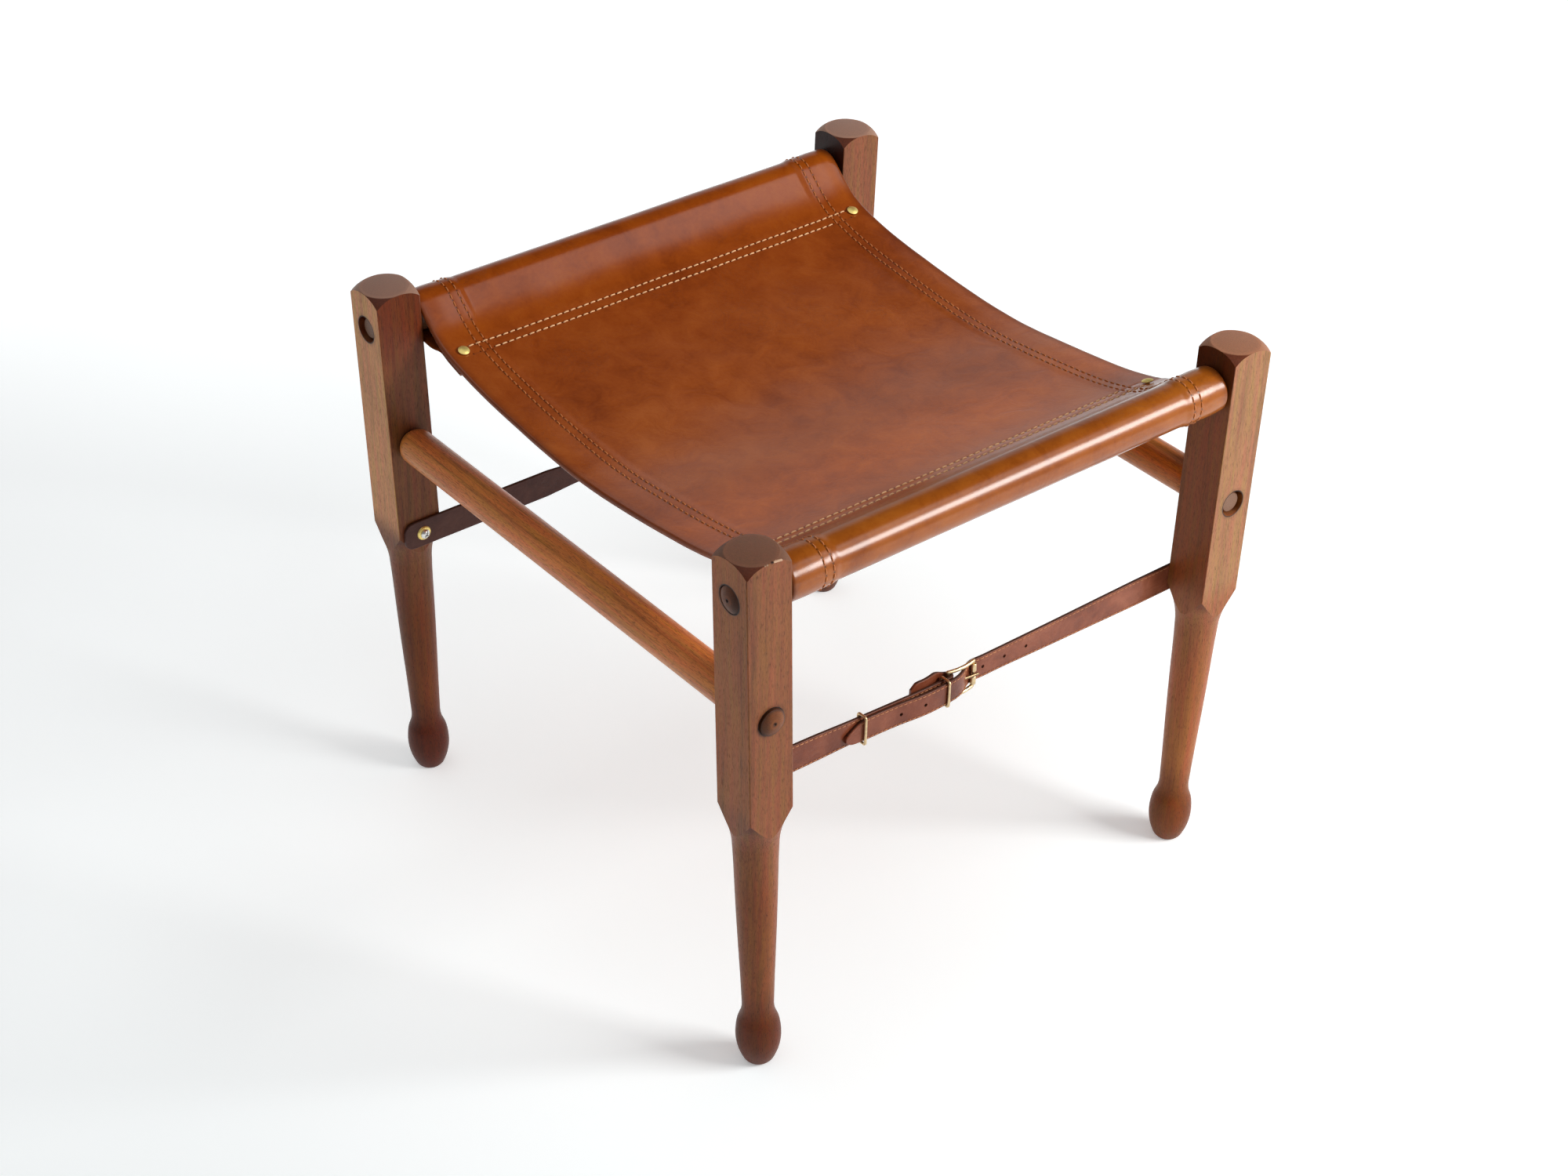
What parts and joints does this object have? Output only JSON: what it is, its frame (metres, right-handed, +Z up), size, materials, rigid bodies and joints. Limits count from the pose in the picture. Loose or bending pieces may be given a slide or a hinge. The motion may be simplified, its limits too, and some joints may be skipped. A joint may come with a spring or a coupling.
{
  "type": "safari stool",
  "caption": "Knock-down stool with turned square-topped legs, round rails and stretchers, a sagging leather sling seat and buckled leather straps.",
  "frame": {"origin": "on the floor, midway between the legs", "axes": "+X along the seat rails to the right, +Y to the back, +Z up"},
  "size_m": [0.4913, 0.4942, 0.4601],
  "materials": {
    "leg_wood": "oiled satin",
    "dowel_wood": "oiled satin",
    "sling_leather": "smooth, polished by use",
    "strap_leather": "smooth, stitched edges",
    "buckle_brass": "polished",
    "rivet_brass": "worn",
    "screw_steel": "bright"
  },
  "bodies": {
    "seat": {"seat_rail_front": "dowel_wood", "seat_rail_rear": "dowel_wood", "sling": "sling_leather", "sling_rivets": "rivet_brass", "sling_rivet_burrs": "rivet_brass"},
    "left_frame": {"leg_front_left": "leg_wood", "leg_rear_left": "leg_wood", "stretcher_left": "dowel_wood", "front_buckle_strap": "strap_leather", "front_keeper_fixed": "buckle_brass", "rear_billet_strap": "strap_leather", "strap_screws_left": "screw_steel", "cup_washers_left": "rivet_brass"},
    "right_frame": {"leg_front_right": "leg_wood", "leg_rear_right": "leg_wood", "stretcher_right": "dowel_wood", "front_billet_strap": "strap_leather", "rear_buckle_strap": "strap_leather", "rear_keeper_fixed": "buckle_brass", "strap_screws_right": "screw_steel", "cup_washers_right": "rivet_brass"},
    "front_buckle": {"front_buckle_frame": "buckle_brass"},
    "front_prong": {"front_buckle_prong": "buckle_brass"},
    "front_loop": {"front_keeper_sliding": "buckle_brass"},
    "rear_buckle": {"rear_buckle_frame": "buckle_brass"},
    "rear_prong": {"rear_buckle_prong": "buckle_brass"},
    "rear_loop": {"rear_keeper_sliding": "buckle_brass"}
  },
  "joints": [
    {"name": "left_frame_pull_off", "type": "slide", "parent": "seat", "child": "left_frame", "axis": [-1, 0, 0], "range_m": [0, 0.04], "deforming": ["front_billet_strap", "rear_billet_strap"]},
    {"name": "right_frame_pull_off", "type": "slide", "parent": "seat", "child": "right_frame", "axis": [1, 0, 0], "range_m": [0, 0.04], "deforming": ["front_billet_strap", "rear_billet_strap"]},
    {"name": "front_buckle_swing", "type": "hinge", "parent": "left_frame", "child": "front_buckle", "pos_m": [-0.0265, -0.2052, 0.2485], "axis": [0, 0, -1], "range_deg": [-60, 40], "deforming": ["front_billet_strap"]},
    {"name": "front_prong_lift", "type": "hinge", "parent": "front_buckle", "child": "front_prong", "pos_m": [-0.0265, -0.2052, 0.2485], "axis": [0, 0, -1], "range_deg": [0, 60], "deforming": ["front_billet_strap"]},
    {"name": "front_keeper_slide", "type": "slide", "parent": "left_frame", "child": "front_loop", "axis": [0.9994, -0.0335, 0], "range_m": [-0.012, 0.034], "deforming": ["front_billet_strap"]},
    {"name": "rear_buckle_swing", "type": "hinge", "parent": "right_frame", "child": "rear_buckle", "pos_m": [0.0265, 0.2052, 0.2445], "axis": [0, 0, -1], "range_deg": [-60, 40], "deforming": ["rear_billet_strap"]},
    {"name": "rear_prong_lift", "type": "hinge", "parent": "rear_buckle", "child": "rear_prong", "pos_m": [0.0265, 0.2052, 0.2445], "axis": [0, 0, -1], "range_deg": [0, 60], "deforming": ["rear_billet_strap"]},
    {"name": "rear_keeper_slide", "type": "slide", "parent": "right_frame", "child": "rear_loop", "axis": [-0.9994, 0.0335, 0], "range_m": [-0.012, 0.034], "deforming": ["rear_billet_strap"]}
  ]
}
